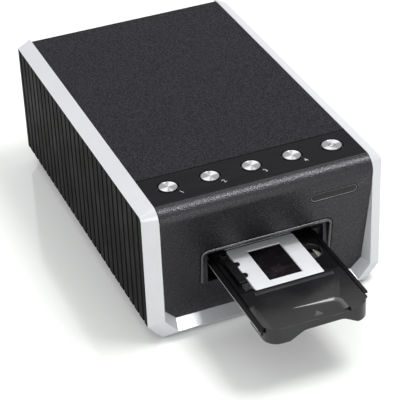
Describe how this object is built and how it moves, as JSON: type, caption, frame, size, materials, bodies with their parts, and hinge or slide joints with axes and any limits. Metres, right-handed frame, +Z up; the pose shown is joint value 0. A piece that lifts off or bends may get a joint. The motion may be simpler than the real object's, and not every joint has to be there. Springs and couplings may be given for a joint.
{
  "type": "film_negative_scanner",
  "caption": "Desk-top slide and negative film scanner: ribbed black box in a bevelled silver frame, keys on top, and a motor-driven tray that carries a slide holder out of a wide front slot",
  "frame": {"origin": "centre of the bounding box in plan, on the table the feet stand on, with the tray as it rests (partly out)", "axes": "+X is the machine's right as its user sees it, +Y runs from the tray's slot to the back, +Z is up"},
  "size_m": [0.175, 0.3472, 0.1065],
  "materials": {
    "silver_plastic": "silver paint, satin",
    "grain_black": "grained",
    "side_black": "satin",
    "base_black": "fine texture",
    "cover_grey": "satin",
    "piano_black": "gloss",
    "key_metal": "spun",
    "key_black": "satin",
    "rail_black": "satin",
    "holder_black": "fine texture",
    "mount_white": "satin",
    "film": "gloss",
    "spring_steel": "bright",
    "rubber": "matt",
    "steel": "bright",
    "acetal": "satin",
    "brass": "turned",
    "motor_can": "drawn",
    "chassis_black": "matt",
    "diffuser": "frosted",
    "board": "solder mask",
    "switch_black": "satin",
    "port_steel": "plated",
    "mirror": "front silvered",
    "barrel": "black anodised",
    "lens": "coated"
  },
  "bodies": {
    "housing": {"base_pan": "base_black", "board_screws": "steel", "case_screws": "steel", "control_board": "board", "control_strip": "piano_black", "front_panel": "grain_black", "key_switches": "switch_black", "lamp_bridge": "chassis_black", "lamp_diffuser": "diffuser", "lamp_housing": "chassis_black", "led_bar": "board", "left_guide": "chassis_black", "left_side_panel": "side_black", "lens_barrel": "barrel", "lens_glass": "lens", "main_board": "board", "mirror": "mirror", "motor_bracket": "steel", "optics_box": "chassis_black", "power_jack": "switch_black", "rear_panel": "base_black", "reduction_axle": "steel", "right_guide": "chassis_black", "right_side_panel": "side_black", "rubber_feet": "rubber", "sensor_board": "board", "shaft_bush": "brass", "shaft_post": "chassis_black", "silver_trim": "silver_plastic", "stepper_motor": "motor_can", "top_cover": "cover_grey", "usb_port": "port_steel"},
    "tray": {"left_rail": "rail_black", "right_rail": "rail_black", "cross_bar": "rail_black", "drive_rack": "acetal"},
    "film_holder": {"holder_frame": "holder_black", "holder_grip": "holder_black", "hold_down_clips": "holder_black", "slide_mounts": "mount_white", "film_chips": "film", "mount_springs": "spring_steel"},
    "drive_shaft_set": {"drive_shaft": "steel", "rack_pinion": "acetal", "drive_gear": "acetal"},
    "reduction_set": {"reduction_gear": "acetal"},
    "motor_rotor": {"motor_pinion": "brass", "motor_shaft": "steel"},
    "key_1": {"key_cap_1": "key_metal", "key_stem_1": "key_black"},
    "key_2": {"key_cap_2": "key_metal", "key_stem_2": "key_black"},
    "key_3": {"key_cap_3": "key_metal", "key_stem_3": "key_black"},
    "key_4": {"key_cap_4": "key_metal", "key_stem_4": "key_black"},
    "key_5": {"key_cap_5": "key_metal", "key_stem_5": "key_black"}
  },
  "joints": [
    {"name": "tray_slide", "type": "slide", "parent": "housing", "child": "tray", "axis": [0, 1, 0], "range_m": [-0.126, 0.078]},
    {"name": "holder_slide", "type": "slide", "parent": "tray", "child": "film_holder", "axis": [0, 1, 0], "range_m": [-0.262, 0]},
    {"name": "drive_shaft_spin", "type": "hinge", "parent": "housing", "child": "drive_shaft_set", "pos_m": [0.04, -0.04515, 0.0353], "axis": [1, 0, 0], "range_deg": [-560, 904]},
    {"name": "reduction_spin", "type": "hinge", "parent": "housing", "child": "reduction_set", "pos_m": [0.052, -0.02795, 0.02904], "axis": [1, 0, 0], "range_deg": [-2033, 1259]},
    {"name": "motor_spin", "type": "hinge", "parent": "housing", "child": "motor_rotor", "pos_m": [0.056, -0.0121, 0.03819], "axis": [1, 0, 0], "range_deg": [-2832, 4572]},
    {"name": "key_1_press", "type": "slide", "parent": "housing", "child": "key_1", "axis": [0, 0, -1], "range_m": [0, 0.001], "stiffness_N_per_m": 400, "springref_m": -0.0003},
    {"name": "key_2_press", "type": "slide", "parent": "housing", "child": "key_2", "axis": [0, 0, -1], "range_m": [0, 0.001], "stiffness_N_per_m": 400, "springref_m": -0.0003},
    {"name": "key_3_press", "type": "slide", "parent": "housing", "child": "key_3", "axis": [0, 0, -1], "range_m": [0, 0.001], "stiffness_N_per_m": 400, "springref_m": -0.0003},
    {"name": "key_4_press", "type": "slide", "parent": "housing", "child": "key_4", "axis": [0, 0, -1], "range_m": [0, 0.001], "stiffness_N_per_m": 400, "springref_m": -0.0003},
    {"name": "key_5_press", "type": "slide", "parent": "housing", "child": "key_5", "axis": [0, 0, -1], "range_m": [0, 0.001], "stiffness_N_per_m": 400, "springref_m": -0.0003}
  ],
  "couplings": [
    {"joint": "drive_shaft_spin", "follows": "tray_slide", "rad_per_m": -125},
    {"joint": "reduction_spin", "follows": "tray_slide", "rad_per_m": 281.25},
    {"joint": "motor_spin", "follows": "tray_slide", "rad_per_m": -632.81}
  ]
}
